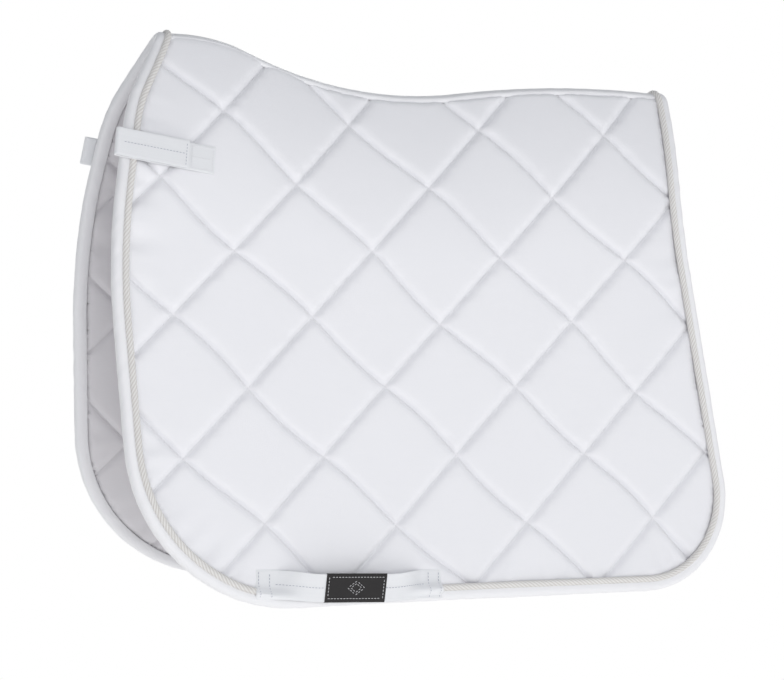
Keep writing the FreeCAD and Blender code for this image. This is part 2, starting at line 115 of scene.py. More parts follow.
def spine_level(x):
    """Height of the cover along the spine: level withers, hollow seat, crowned loins, straight fall."""
    x = np.asarray(x, float)
    steep, mild, fall = WITHERS_SLOPE, LOIN_SLOPE, REAR_SLOPE
    crown_x = -(WITHERS_RADIUS + SEAT_RADIUS) * math.sin(steep)
    top = SEAT_TOP + (WITHERS_RADIUS + SEAT_RADIUS) * (1 - math.cos(steep))
    loin_x = (SEAT_RADIUS + LOIN_RADIUS) * math.sin(mild)
    loin_top = SEAT_TOP + (SEAT_RADIUS + LOIN_RADIUS) * (1 - math.cos(mild))
    fall_x = loin_x + LOIN_RADIUS * math.sin(fall)

    def arc(radius, centre):
        return np.sqrt(np.maximum(radius**2 - (x - centre) ** 2, 0))

    return np.select(
        [x < crown_x, x < -SEAT_RADIUS * math.sin(steep), x < SEAT_RADIUS * math.sin(mild), x < fall_x],
        [top,
         top - WITHERS_RADIUS + arc(WITHERS_RADIUS, crown_x),
         SEAT_TOP + SEAT_RADIUS - arc(SEAT_RADIUS, 0),
         loin_top - LOIN_RADIUS + arc(LOIN_RADIUS, loin_x)],
        loin_top - LOIN_RADIUS * (1 - math.cos(fall)) - (x - fall_x) * math.tan(fall))


RIDGE_RUN = RIDGE_RADIUS * RIDGE_SLOPE
FLANK_RUN = FLANK_RADIUS * (FLANK_SLOPE - RIDGE_SLOPE)


def on_pad(x, run, out, side):
    """Points at a distance along the spine, a run down over the flank and a height out of the cover."""
    x, run, out = np.broadcast_arrays(np.asarray(x, float), np.asarray(run, float), np.asarray(out, float))
    ridge = np.minimum(run, RIDGE_RUN) / RIDGE_RADIUS
    flank = np.clip(run - RIDGE_RUN, 0, FLANK_RUN) / FLANK_RADIUS
    slope = ridge + flank
    straight = np.maximum(run - RIDGE_RUN - FLANK_RUN, 0)
    y = RIDGE_RADIUS * np.sin(ridge) + FLANK_RADIUS * (np.sin(slope) - np.sin(ridge)) * (flank > 0)
    drop = RIDGE_RADIUS * (1 - np.cos(ridge)) + FLANK_RADIUS * (np.cos(ridge) - np.cos(slope)) * (flank > 0)
    y = y + straight * math.cos(FLANK_SLOPE) + out * np.sin(slope)
    z = spine_level(x) - drop - straight * math.sin(FLANK_SLOPE) + out * np.cos(slope)
    return np.stack([x, side * y, z], -1)


def raised_line(x, run, out, way):
    """Points on the pad with their outward directions."""
    low = on_pad(x, run, out, way)
    return low, unit(on_pad(x, run, out + 0.001, way) - low)


RUNS = np.linspace(0, 0.8, 4001)
DROPS = -(on_pad(0, RUNS, 0, 1)[:, 2] - SEAT_TOP)


def run_at(x, z):
    """The run down the flank that reaches a height."""
    return np.interp(spine_level(x) - z, DROPS, RUNS)


CORNER_POINTS, OUTLINE_GRAIN, EDGE_STEP = 24, 0.001, 0.004


def outline():
    """The pad's edge as even steps, from the front of the spine to its rear: place, run and length."""
    corners = [Vector((x, z)) for x, z, _ in OUTLINE]
    points = [corners[0]]
    for index in range(1, len(corners) - 1):
        corner, radius = corners[index], OUTLINE[index][2]
        back = (corners[index - 1] - corner).normalized()
        ahead = (corners[index + 1] - corner).normalized()
        half = back.angle(ahead) / 2
        centre = corner + (back + ahead).normalized() * radius / math.sin(half)
        start, end = corner + back * radius / math.tan(half), corner + ahead * radius / math.tan(half)
        turn = 1 if (start - centre).cross(end - centre) > 0 else -1
        for part in np.linspace(0, 1, CORNER_POINTS):
            arm = start - centre
            arm.rotate(Matrix.Rotation(turn * part * (math.pi - 2 * half), 2))
            points.append(centre + arm)
    points.append(corners[-1])
    line = np.array(points)
    fine = lengths_along(line)
    x, z = read_at(np.linspace(0, fine[-1], int(fine[-1] / OUTLINE_GRAIN)), fine, line).T
    below = z < spine_level(x)
    first, last = np.argmax(below), len(below) - np.argmax(below[::-1])
    x, z = x[first:last], z[first:last]
    run = run_at(x, z)
    run[0] = run[-1] = 0
    length = lengths_along(on_pad(x, run, 0, 1))
    even = np.linspace(0, length[-1], int(round(length[-1] / EDGE_STEP)) + 1)
    return np.interp(even, length, x), np.interp(even, length, run), even


# ---- making and finishing meshes

def grid_faces(rows, columns, closed=False):
    """Quads of a grid of points laid out row by row, joined from last column to first if it is closed."""
    index = np.arange(rows * columns).reshape(rows, columns)
    if closed:
        index = np.concatenate([index, index[:, :1]], axis=1)
    return np.stack([index[:-1, :-1], index[1:, :-1], index[1:, 1:], index[:-1, 1:]], -1).reshape(-1, 4)


def piece(name, points, faces, cloth, flat=None):
    """A smooth-shaded mesh in one finish, with a UV map of its flat pattern in metres."""
    mesh = bpy.data.meshes.new(name)
    faces = faces if isinstance(faces, list) else faces.tolist()
    mesh.from_pydata(np.asarray(points).reshape(-1, 3).tolist(), [], faces)
    if flat is not None:
        corner = np.zeros(len(mesh.loops), int)
        mesh.loops.foreach_get("vertex_index", corner)
        layer = mesh.uv_layers.new(name="flat")
        layer.data.foreach_set("uv", np.asarray(flat, float).reshape(-1, 2)[corner].ravel())
    mesh.materials.append(cloth)
    mesh.shade_smooth()
    thing = bpy.data.objects.new(name, mesh)
    bpy.context.scene.collection.objects.link(thing)
    return thing


def apply_modifier(thing, kind, **settings):
    """Adds a modifier with its settings and makes its result the piece's own mesh."""
    modifier = thing.modifiers.new(kind.title(), kind)
    for setting, value in settings.items():
        setattr(modifier, setting, value)
    with bpy.context.temp_override(object=thing, active_object=thing, selected_objects=[thing]):
        bpy.ops.object.modifier_apply(modifier=modifier.name)


def face_outwards(thing):
    """Turns every face of a closed piece outwards."""
    form = bmesh.new()
    form.from_mesh(thing.data)
    bmesh.ops.recalc_face_normals(form, faces=form.faces)
    form.to_mesh(thing.data)
    form.free()


def thicken(thing, thickness, edge=0):
    """Gives a sheet its thickness, half to each side, and softens its cut edges."""
    apply_modifier(thing, "SOLIDIFY", thickness=thickness, offset=0)
    if edge:
        apply_modifier(thing, "BEVEL", width=edge, segments=2, limit_method="ANGLE",
                       angle_limit=math.radians(50))
    face_outwards(thing)


def bend_with(thing, side, slot_name, *nodes):
    """A piece that replaces CAD parts: hides them and bakes the piece's placement into its mesh."""
    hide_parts(*nodes)
    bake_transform(thing)


def hang_on(thing, body, slot_name, *nodes):
    """A piece that moves with one body."""
    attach(thing, body)
    if nodes:
        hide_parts(*nodes)


# ---- finishes

def put(tree, kind, feed=None, **settings):
    """A shader node with its settings, and its sockets fed with values or with other nodes' outputs."""
    made = tree.nodes.new(kind)
    for setting, value in settings.items():
        setattr(made, setting, value)
    for socket, value in (feed or {}).items():
        if isinstance(value, bpy.types.NodeSocket):
            tree.links.new(value, made.inputs[socket])
        else:
            made.inputs[socket].default_value = value
    return made


def math_node(tree, operation, first, second=0.0, third=0.0):
    """The result of one sum, with numbers or other nodes' outputs in it."""
    return put(tree, "ShaderNodeMath", {0: first, 1: second, 2: third}, operation=operation).outputs[0]


def blend_colours(tree, share, low, high):
    """A colour between two others."""
    return put(tree, "ShaderNodeMix", {0: share, 6: low, 7: high}, data_type="RGBA").outputs[2]


def new_group(name, inputs, outputs):
    """An empty node group, with the sockets inside it to read from and to write to."""
    group = bpy.data.node_groups.new(name, "ShaderNodeTree")
    for socket, kind, value in inputs:
        made = group.interface.new_socket(socket, in_out="INPUT", socket_type=kind)
        if value is not None:
            made.default_value = value
    for socket in outputs:
        group.interface.new_socket(socket, in_out="OUTPUT", socket_type="NodeSocketFloat")
    return group, group.nodes.new("NodeGroupInput").outputs, group.nodes.new("NodeGroupOutput").inputs


def thread_weave():
    """Crossing threads: a height and a shade, with uneven yarns, in a flat pattern measured in metres."""
    group, given, result = new_group(
        "thread_weave",
        (("Flat", "NodeSocketVector", None), ("Warp pitch", "NodeSocketFloat", 0.0005),
         ("Weft pitch", "NodeSocketFloat", 0.0005), ("Slant", "NodeSocketFloat", 0.0)),
        ("Height", "Shade"))
    across = put(group, "ShaderNodeSeparateXYZ", {0: given["Flat"]}).outputs
    leaning = math_node(group, "MULTIPLY_ADD", across["Y"], given["Slant"], across["X"])
    warp = math_node(group, "DIVIDE", leaning, given["Warp pitch"])
    weft = math_node(group, "DIVIDE", across["Y"], given["Weft pitch"])
    rows = math_node(group, "SINE", math_node(group, "MULTIPLY", warp, math.tau))
    lines = math_node(group, "SINE", math_node(group, "MULTIPLY", weft, math.tau))
    slow = math_node(group, "MULTIPLY", warp, 0.06)
    yarn = put(group, "ShaderNodeCombineXYZ", {0: slow, 1: weft}).outputs[0]
    uneven = put(group, "ShaderNodeTexNoise", {"Vector": yarn, "Scale": 0.7, "Detail": 2.0}).outputs[0]
    woven = math_node(group, "MULTIPLY_ADD", rows, 0.35, lines)
    group.links.new(math_node(group, "MULTIPLY_ADD", uneven, 1.6, woven), result["Height"])
    group.links.new(uneven, result["Shade"])
    return group


def soft_wear():
    """Broad soft creases and faint uneven colour, over the whole piece."""
    group, given, result = new_group(
        "soft_wear",
        (("Place", "NodeSocketVector", None), ("Size", "NodeSocketFloat", 30.0)),
        ("Crease", "Tone"))
    crease = put(group, "ShaderNodeTexNoise",
                 {"Vector": given["Place"], "Scale": given["Size"], "Detail": 3.0, "Distortion": 0.6})
    tone = put(group, "ShaderNodeTexNoise", {"Vector": given["Place"], "Scale": 7.0, "Detail": 2.0})
    group.links.new(crease.outputs[0], result["Crease"])
    group.links.new(tone.outputs[0], result["Tone"])
    return group


def cloth_finish(name, light, dark, roughness, sheen, warp, weft, slant, thread, crease, soften):
    """A woven cloth: two near colours, thread relief and creases in metres, its gloss and its sheen."""
    made = bpy.data.materials.new(name)
    made.use_nodes = True
    tree = made.node_tree
    shader = tree.nodes["Principled BSDF"]
    places = put(tree, "ShaderNodeTexCoord").outputs
    weave = put(tree, "ShaderNodeGroup", node_tree=WEAVE)
    tree.links.new(places["UV"], weave.inputs["Flat"])
    weave.inputs["Warp pitch"].default_value = warp
    weave.inputs["Weft pitch"].default_value = weft
    weave.inputs["Slant"].default_value = slant
    wear = put(tree, "ShaderNodeGroup", node_tree=WEAR)
    tree.links.new(places["Object"], wear.inputs["Place"])
    tone = math_node(tree, "MULTIPLY_ADD", weave.outputs["Shade"], 0.5,
                     math_node(tree, "MULTIPLY", wear.outputs["Tone"], 0.5))
    tree.links.new(blend_colours(tree, tone, dark, light), shader.inputs["Base Color"])
    gloss = put(tree, "ShaderNodeMapRange",
                {0: wear.outputs["Tone"], 3: roughness - 0.05, 4: roughness + 0.05})
    tree.links.new(gloss.outputs[0], shader.inputs["Roughness"])
    creased = put(tree, "ShaderNodeBump",
                  {"Strength": soften, "Distance": crease, "Height": wear.outputs["Crease"]})
    relief = put(tree, "ShaderNodeBump",
                 {"Strength": 0.6, "Distance": thread, "Height": weave.outputs["Height"],
                  "Normal": creased.outputs[0]})
    tree.links.new(relief.outputs[0], shader.inputs["Normal"])
    shader.inputs["Sheen Weight"].default_value = sheen
    shader.inputs["Sheen Roughness"].default_value = 0.4
    shader.inputs["Specular IOR Level"].default_value = 0.45
    return made


def cord_finish():
    """Off-white yarn, with painted shade where the strands sink between each other."""
    made = cloth_finish("twisted_yarn", (0.95, 0.945, 0.935, 1), (0.90, 0.885, 0.865, 1), 0.5, 0.3,
                        0.0009, 0.0004, 0.8, 0.00012, 0.0002, 0.3)
    tree = made.node_tree
    shader = tree.nodes["Principled BSDF"]
    yarn = shader.inputs["Base Color"].links[0].from_socket
    gap_shade = put(tree, "ShaderNodeAttribute", attribute_name="gap_shade").outputs["Fac"]
    # painted shade: a grey-brown mixed into the yarn where the strands sink between each other
    tree.links.new(blend_colours(tree, gap_shade, yarn, (0.56, 0.52, 0.49, 1)), shader.inputs["Base Color"])
    return made


WEAVE = thread_weave()
WEAR = soft_wear()
SATIN = cloth_finish("quilted_white_satin", (0.85, 0.85, 0.88, 1), (0.81, 0.81, 0.845, 1), 0.40, 0.25,
                     0.0021, 0.00042, 0.0, 0.00005, 0.0012, 0.35)
# The lining's pale cotton colour, darkened with painted shade for the shadow that falls over it.
COTTON_PAINTED_SHADE = cloth_finish("white_cotton_lining_painted_shade", (0.76, 0.745, 0.77, 1), (0.70, 0.685, 0.71, 1), 0.8, 0.3,
                      0.0006, 0.0006, 0.0, 0.00008, 0.0010, 0.4)
BINDING_SATIN = cloth_finish("smooth_binding_satin", (0.84, 0.84, 0.86, 1), (0.80, 0.80, 0.825, 1), 0.36,
                             0.25, 0.0012, 0.0004, 1.0, 0.00004, 0.0010, 0.4)
YARN = cord_finish()
WEBBING = cloth_finish("white_webbing", (0.86, 0.87, 0.89, 1), (0.78, 0.79, 0.82, 1), 0.55, 0.3,
                       0.0022, 0.0011, 0.9, 0.00022, 0.0004, 0.3)
QUILT_THREAD = cloth_finish("white_quilting_thread", (0.83, 0.83, 0.86, 1), (0.74, 0.74, 0.77, 1), 0.45,
                            0.2, 0.0004, 0.0002, 0.9, 0.00004, 0.0002, 0.3)
TACK_THREAD = cloth_finish("grey_tacking_thread", (0.46, 0.47, 0.55, 1), (0.36, 0.37, 0.45, 1), 0.45,
                           0.2, 0.0004, 0.0002, 0.9, 0.00004, 0.0002, 0.3)
PILE = cloth_finish("soft_loop_pile", (0.80, 0.80, 0.80, 1), (0.66, 0.66, 0.67, 1), 0.9, 0.5,
                    0.0011, 0.0009, 0.4, 0.00050, 0.0008, 0.5)
HOOKS = cloth_finish("fine_hook_tape", (0.78, 0.79, 0.80, 1), (0.60, 0.61, 0.62, 1), 0.5, 0.1,
                     0.0013, 0.0013, 0.0, 0.00060, 0.0003, 0.3)
LABEL = cloth_finish("black_woven_label", (0.014, 0.012, 0.013, 1), (0.008, 0.007, 0.008, 1), 0.6, 0.0,
                     0.0004, 0.0005, 0.5, 0.00010, 0.0003, 0.3)
EMBROIDERY = cloth_finish("pale_embroidery", (0.72, 0.72, 0.74, 1), (0.58, 0.58, 0.60, 1), 0.5, 0.3,
                          0.0005, 0.0005, 1.0, 0.00012, 0.0002, 0.3)


# ---- quilted panels

# Heights are measured out of the cover's own level, so a seam's valley is below nought.
DIAMOND_ACROSS, DIAMOND_DOWN = 0.077, 0.0725
LATTICE_X, LATTICE_Z = -0.305, -0.014
COLUMN_FALL, ROW_DRIFT = 0.0019, 0.003
WANDER_ONE, WANDER_TWO = 0.0022, 0.0016
FIRST_COLUMN, LAST_COLUMN = -11, 13
DEEPEST_RUN, FURTHEST_X = 0.66, 0.37
CELLS, SEAM_CROWDING = 36, 0.45
ON_SEAM = 0.5 / CELLS
VALLEY, EDGE_SINK, VALLEY_RUN_IN = -0.0062, -0.0030, 0.012
PUFF_TOP, PUFF_SHARPNESS = 0.0006, 16
SWELL_MOMENTS, SWELL_CAP = 16, 0.006
FOLD_REACH, FOLD_HEIGHT, FOLD_START, FOLDS_PER_HALF = 0.011, 0.0012, 0.0025, 6.3
HEM_FOLD_REACH, HEM_FOLD_HEIGHT, HEM_FOLD_START, HEM_FOLDS_PER_METRE = 0.026, 0.0066, 0.004, 62
LINING_VALLEY, LINING_SHARE = -0.0075, 0.6
TAPE_EDGE = 0.0115
COVERED_X, OPEN_X = -0.200, -0.100
COVERED_EDGE, COVERED_RISE = 0.0025, 0.0016
PRESS_SLOPE = 0.5
PANEL_EDGE = BINDING_WIDTH + CORD_RADIUS * 0.6
MITRE_POINTS = 8


def pattern_drop(run):
    """Fall below the spine that the quilting follows: the flank, carried straight on over the ridge."""
    fall = np.interp(run, RUNS, DROPS)
    end = float(np.interp(RIDGE_RUN, RUNS, DROPS))
    return np.where(run < RIDGE_RUN, end - (RIDGE_RUN - run) * math.sin(RIDGE_SLOPE), fall)


def lattice_point(along, against):
    """Place in the side view of a point of the diamond lattice, whose seams are at its odd numbers."""
    column, row = (along + against) / 2, (along - against) / 2
    wander = WANDER_ONE * np.sin(1.3 * column + 2.1 * row) + WANDER_TWO * np.cos(2.3 * row - 0.9 * column)
    x = LATTICE_X + DIAMOND_ACROSS * column + ROW_DRIFT * row + wander
    z = LATTICE_Z - DIAMOND_DOWN * row - COLUMN_FALL * column + wander
    return x, z


def edge_frame():
    """The pad's edge line: distance along the spine, run, the inward direction at each, and the length."""
    x, run, length = outline()
    ahead = unit(np.stack([np.gradient(x), np.gradient(run)], -1))
    inward = np.stack([-ahead[:, 1], ahead[:, 0]], -1)
    if inward[len(x) // 2][1] > 0:
        inward = -inward
    for end, way in ((0, 1), (-1, -1)):
        mitre = np.array([1 / inward[end][0], 0])
        for index in range(MITRE_POINTS):
            share = 1 - index / MITRE_POINTS
            place = end + way * index
            inward[place] = inward[place] * (1 - share) + mitre * share
    return x, run, inward, length


EDGE_X, EDGE_RUN, EDGE_IN, EDGE_LENGTH = edge_frame()
EDGE_LINE = np.stack([EDGE_X, EDGE_RUN], -1)
SEARCH_BLOCKS = 60


def inset_of(x, run):
    """Distance in from the pad's edge, with the place on the edge that is nearest."""
    points = np.stack([x, run], -1)
    near = np.concatenate([
        np.argmin(((block[:, None] - EDGE_LINE[None]) ** 2).sum(-1), axis=1)
        for block in np.array_split(points, SEARCH_BLOCKS)])
    return ((points - EDGE_LINE[near]) * EDGE_IN[near]).sum(-1), near


def tape_edge(x):
    """Run of the panel's upper edge, which lies over the tape on the withers and beside it further back."""
    return np.interp(x, (COVERED_X, OPEN_X), (COVERED_EDGE, TAPE_EDGE))


def lattice_sheet():
    """The flat panel as a fine grid whose seams are its own edges, cut to the pad's outline."""
    numbers = np.arange(FIRST_COLUMN * CELLS, LAST_COLUMN * CELLS + 1) * 2 / CELLS + 1
    numbers = numbers + SEAM_CROWDING * np.sin(np.pi * numbers) / np.pi
    along, against = np.meshgrid(numbers, numbers, indexing="ij")
    x, z = lattice_point(along.ravel(), against.ravel())
    run = np.interp(spine_level(x) - z, pattern_drop(RUNS), RUNS, left=-1, right=1)
    near_pad = (run > 0) & (run < DEEPEST_RUN) & (np.abs(x) < FURTHEST_X)
    inset = np.full(len(x), -1.0)
    nearest = np.zeros(len(x), int)
    inset[near_pad], nearest[near_pad] = inset_of(x[near_pad], run[near_pad])
    kept = (inset >= PANEL_EDGE) & (run >= tape_edge(x))
    faces = grid_faces(len(numbers), len(numbers))
    faces = faces[kept[faces].all(axis=1)]
    used = np.unique(faces)
    renumber = np.zeros(len(x), int)
    renumber[used] = np.arange(len(used))
    faces = renumber[faces]
    x, run, inset, nearest = x[used], run[used], inset[used], nearest[used]
    along, against = along.ravel()[used], against.ravel()[used]
    sides = np.sort(np.concatenate([faces[:, [corner - 1, corner]] for corner in range(4)]), axis=1)
    pairs, count = np.unique(sides, axis=0, return_counts=True)
    border = np.zeros(len(x), bool)
    border[np.unique(pairs[count == 1])] = True
    at_tape = border & (run - tape_edge(x) < inset - PANEL_EDGE)
    at_cord = border & ~at_tape
    x[at_cord] = EDGE_X[nearest[at_cord]] + EDGE_IN[nearest[at_cord], 0] * PANEL_EDGE
    run[at_cord] = EDGE_RUN[nearest[at_cord]] + EDGE_IN[nearest[at_cord], 1] * PANEL_EDGE
    run[at_tape] = tape_edge(x[at_tape])
    run = np.maximum(run, tape_edge(x))
    return x, run, along, against, faces, border, pairs[count == 1]


def seam_gap(number):
    """Nought on a seam and one half-way between two seams."""
    return np.abs(np.mod(number, 2) - 1)


def swollen(x, run, along, against, faces, border):
    """The flat panel blown up between its seams: a dome on each diamond, then slack cloth under pressure."""
    gap_one, gap_two = seam_gap(along), seam_gap(against)
    dome = (1 - (1 - gap_one) ** PUFF_SHARPNESS) * (1 - (1 - gap_two) ** PUFF_SHARPNESS)
    sewn = np.minimum(gap_one, gap_two) < ON_SEAM
    raised = np.interp(x, (COVERED_X, OPEN_X), (COVERED_RISE, EDGE_SINK))
    deep = np.clip((run - tape_edge(x)) / VALLEY_RUN_IN, 0, 1)
    valley = raised + (VALLEY - raised) * deep
    out = np.where(sewn, valley, valley + (PUFF_TOP - valley) * dome)
    out[border] = np.where(run[border] <= tape_edge(x[border]) + 1e-6, raised[border], EDGE_SINK)
    points = np.stack([x, -run, out], -1)
    sheet = piece("swelling_sheet", points, faces, SATIN)
    held = sheet.vertex_groups.new(name="held")
    held.add(np.flatnonzero(sewn | border).tolist(), 1.0, "REPLACE")
    cloth = sheet.modifiers.new("Cloth", "CLOTH").settings
    cloth.vertex_group_mass = "held"
    cloth.quality = 4
    cloth.mass = 0.2
    cloth.shrink_min = -0.022
    cloth.tension_stiffness = cloth.compression_stiffness = 12
    cloth.shear_stiffness = 4
    cloth.bending_stiffness = 0.25
    cloth.use_pressure = True
    cloth.uniform_pressure_force = 2
    cloth.effector_weights.gravity = 0
    scene = bpy.context.scene
    for moment in range(1, SWELL_MOMENTS + 1):
        scene.frame_set(moment)
    shape = sheet.evaluated_get(bpy.context.evaluated_depsgraph_get()).to_mesh()
    moved = np.zeros(len(shape.vertices) * 3)
    shape.vertices.foreach_get("co", moved)
    moved = moved.reshape(-1, 3)
    scene.frame_set(1)
    bpy.data.objects.remove(sheet)
    step = moved - points
    far = np.linalg.norm(step, axis=1)
    step *= (np.minimum(far, SWELL_CAP) / np.maximum(far, 1e-9))[:, None]
    return points + step


def puckered(swell, along, against):
    """Small gathers that run away from each seam and die out a little way into the diamond."""
    height = swell[:, 2].copy()
    for own, other in ((along, against), (against, along)):
        reach = seam_gap(own) * DIAMOND_ACROSS
        fade = np.exp(-(reach / FOLD_REACH) ** 2) * np.clip(reach / FOLD_START, 0, 1)
        gather = np.array([noise.noise(Vector((place * FOLDS_PER_HALF, number * 3.1, 2.5)))
                           for place, number in zip(other, np.round(own / 2))])
        height += FOLD_HEIGHT * gather * fade
    return height + hem_gathers(swell)


def hem_gathers(swell):
    """Short folds that run in from the corded edge, stronger in some stretches than in others."""
    flat = np.stack([swell[:, 0], -swell[:, 1]], -1)
    inset, near = inset_of(*flat.T)
    way = unit(np.gradient(EDGE_LINE, axis=0))
    place = EDGE_LENGTH[near] + ((flat - EDGE_LINE[near]) * way[near]).sum(-1)
    reach = inset - BINDING_WIDTH - CORD_RADIUS
    fade = np.exp(-(reach / HEM_FOLD_REACH) ** 2) * np.clip(reach / HEM_FOLD_START, 0, 1)
    gathers = np.zeros(len(flat))
    for index in np.flatnonzero(fade > 0.02):
        strength = min(max(0.5 + 1.4 * noise.noise(Vector((place[index] * 7, 4.5, 0.5))), 0), 1)
        gathers[index] = strength * noise.noise(Vector((place[index] * HEM_FOLDS_PER_METRE, 9.5, 0.5)))
    return HEM_FOLD_HEIGHT * gathers * fade


def pressed(x, run, out, presses):
    """The swollen face, held down under each strap sewn over it."""
    for centre_x, centre_run, direction, half_length, half_width, level in presses:
        along = (x - centre_x) * direction[0] + (run - centre_run) * direction[1]
        across = -(x - centre_x) * direction[1] + (run - centre_run) * direction[0]
        beyond = np.hypot(np.maximum(np.abs(along) - half_length, 0),
                          np.maximum(np.abs(across) - half_width, 0))
        out = np.minimum(out, level + PRESS_SLOPE * beyond)
    return out


def closed_panel(sheet, swell, presses, side):
    """Outer face, lining and the rim that joins them, as one closed padded piece."""
    faces, rim = sheet[4], sheet[6]
    x, run, out = swell[:, 0], -swell[:, 1], swell[:, 2]
    count = len(x)
    outer = on_pad(x, run, pressed(x, run, out, presses), SIDES[side])
    inner = on_pad(x, run, LINING_VALLEY - LINING_SHARE * (out - VALLEY), SIDES[side])
    points = np.concatenate([outer, inner])
    flat = np.stack([x, run], -1)
    wall = np.stack([rim[:, 0], rim[:, 1], rim[:, 1] + count, rim[:, 0] + count], -1)
    faces_all = np.concatenate([faces, faces[:, ::-1] + count, wall])
    panel = piece(f"{side}_quilted_panel", points, faces_all, SATIN, np.concatenate([flat, flat]))
    panel.data.materials.append(COTTON_PAINTED_SHADE)
    lining = np.zeros(len(panel.data.polygons), int)
    lining[len(faces):] = 1
    panel.data.polygons.foreach_set("material_index", lining)
    face_outwards(panel)
    bend_with(panel, side, "quilted_satin", f"{side}_cover", f"{side}_wadding", f"{side}_lining")


# ---- stitches

STITCH_LENGTH, STITCH_GAP, THREAD_RADIUS = 0.0026, 0.0009, 0.00032
THREAD_SIDES, GLANCE = 5, 0.0004
THREAD_LIFT = THREAD_RADIUS * 0.4
# Along one stitch: the share of its length, its rise and its girth, both in thread radii.
STITCH_RINGS = ((0, -0.7, 0.35), (0.18, 0.25, 0.9), (0.5, 0.6, 1.1), (0.82, 0.25, 0.9), (1, -0.7, 0.35))


def stitched(name, lines, cloth=QUILT_THREAD):
    """Lock stitches along lines of points and outward directions: each a short thread sunk at its ends."""
    around = np.arange(THREAD_SIDES) * math.tau / THREAD_SIDES
    blocks = []
    for line, outward in lines:
        length = lengths_along(line)
        starts = np.arange(0, length[-1] - STITCH_LENGTH, STITCH_LENGTH + STITCH_GAP)
        if not len(starts):
            continue
        rings = []
        for share, rise, girth in STITCH_RINGS:
            places = starts + share * STITCH_LENGTH
            out = read_at(places, length, outward)
            ahead = unit(read_at(places + GLANCE, length, line) - read_at(places - GLANCE, length, line))
            side = np.cross(ahead, out)
            centre = read_at(places, length, line) + out * rise * THREAD_RADIUS
            ring = [centre + (out * math.cos(turn) + side * math.sin(turn)) * THREAD_RADIUS * girth
                    for turn in around]
            rings.append(np.stack(ring, 1))
        blocks.append(np.stack(rings, 1))
    points = np.concatenate(blocks).reshape(-1, 3)
    corners = len(STITCH_RINGS) * THREAD_SIDES
    caps = [list(range(THREAD_SIDES))[::-1], list(range(corners - THREAD_SIDES, corners))]
    tube = grid_faces(len(STITCH_RINGS), THREAD_SIDES, closed=True).tolist() + caps
    faces = [[corner + base for corner in face] for base in range(0, len(points), corners) for face in tube]
    sewn = piece(name, points, faces, cloth, points[:, [0, 2]])
    face_outwards(sewn)
    return sewn


FEWEST_IN_A_SEAM, SEAM_BREAK = 6, 3.0 / CELLS


def quilt_seams(sheet, swell, presses, side):
    """Lines along the bottom of every quilted valley, with their outward directions."""
    along, against, border = sheet[2], sheet[3], sheet[5]
    lines = []
    for own, other in ((along, against), (against, along)):
        seam = seam_gap(own) < ON_SEAM
        for number in np.unique(np.round(own[seam])):
            chosen = np.flatnonzero(seam & (np.abs(own - number) < ON_SEAM) & ~border)
            order = chosen[np.argsort(other[chosen])]
            gaps = np.flatnonzero(np.diff(other[order]) > SEAM_BREAK) + 1
            for part in np.split(order, gaps):
                if len(part) < FEWEST_IN_A_SEAM:
                    continue
                flat_x, flat_run = swell[part, 0], -swell[part, 1]
                level = pressed(flat_x, flat_run, swell[part, 2], presses)
                lines.append(raised_line(flat_x, flat_run, level, SIDES[side]))
    return lines


# ---- bound and corded edge

BINDING_SECTION = (
    (0.0135, 0.0004), (0.0112, 0.0018), (0.0082, 0.0030), (0.0048, 0.0029), (0.0018, 0.0014),
    (0.0003, -0.0018), (-0.0002, -0.0055), (0.0003, -0.0092), (0.0018, -0.0122), (0.0048, -0.0136),
    (0.0082, -0.0138), (0.0112, -0.0130), (0.0138, -0.0118),
)
SECTION_STEP, BINDING_THICKNESS = 0.0033, 0.0007
PUCKER_PITCH, PUCKER_FADE = 0.021, 0.02
# For two sizes of pucker: its height, its count to a pitch, its lead and its spread over the section.
BROAD_PUCKER, FINE_PUCKER = (0.00055, 2, 0.35, 0.22), (0.00035, 5, 0.8, 0.1)


def along_edge(inset, out, side):
    """Points that run with the pad's edge, drawn in by an inset and raised by a height."""
    x = EDGE_X + EDGE_IN[:, 0] * inset
    run = np.maximum(EDGE_RUN + EDGE_IN[:, 1] * inset, 0)
    run[0] = run[-1] = 0
    return on_pad(x, run, out, SIDES[side])


def pucker(place, number, size, seed):
    """Lift of one point of the binding's section at a place along the edge."""
    height, count, lead, spread = size
    return height * noise.noise(Vector((place / PUCKER_PITCH * count - number * lead, number * spread, seed)))


def binding(side):
    """Satin folded over the edge: a soft roll with slight slanting puckers, open under the cord."""
    columns = []
    fade = np.clip(np.minimum(EDGE_LENGTH, EDGE_LENGTH[-1] - EDGE_LENGTH) / PUCKER_FADE, 0, 1)
    for number, (inset, out) in enumerate(BINDING_SECTION):
        broad = np.array([pucker(place, number, BROAD_PUCKER, SIDES[side]) for place in EDGE_LENGTH])
        fine = np.array([pucker(place, number, FINE_PUCKER, 7.0) for place in EDGE_LENGTH])
        lift = (broad + fine) * fade
        rounded = math.sin(math.pi * number / (len(BINDING_SECTION) - 1))
        columns.append(along_edge(inset - lift * rounded, out + lift, side))
    points = np.stack(columns, 1)
    breadth = np.arange(len(BINDING_SECTION)) * SECTION_STEP
    flat = np.stack(np.broadcast_arrays(EDGE_LENGTH[:, None], breadth[None]), -1)
    roll = piece(f"{side}_edge_roll", points, grid_faces(*points.shape[:2]), BINDING_SATIN, flat)
    apply_modifier(roll, "SOLIDIFY", thickness=BINDING_THICKNESS, offset=-SIDES[side])
    apply_modifier(roll, "SUBSURF", levels=1, render_levels=1)
    face_outwards(roll)
    bend_with(roll, side, "binding_satin", f"{side}_edge_binding", "centre_edge_binding")


STRANDS, STRAND_SIDES = 6, 8
STRAND_PITCH, STRAND_RADIUS, STRAND_BREADTH = 0.0050, 0.00165, 1.12
CORD_CORE, CORD_SEAT, CORD_STEP = 0.0022, 0.0017, 0.0015
# Where the painted shade on each strand's inward side starts, and how far it spreads.
GAP_SHADE_FROM, GAP_SHADE_SPAN = 0.93, 0.45


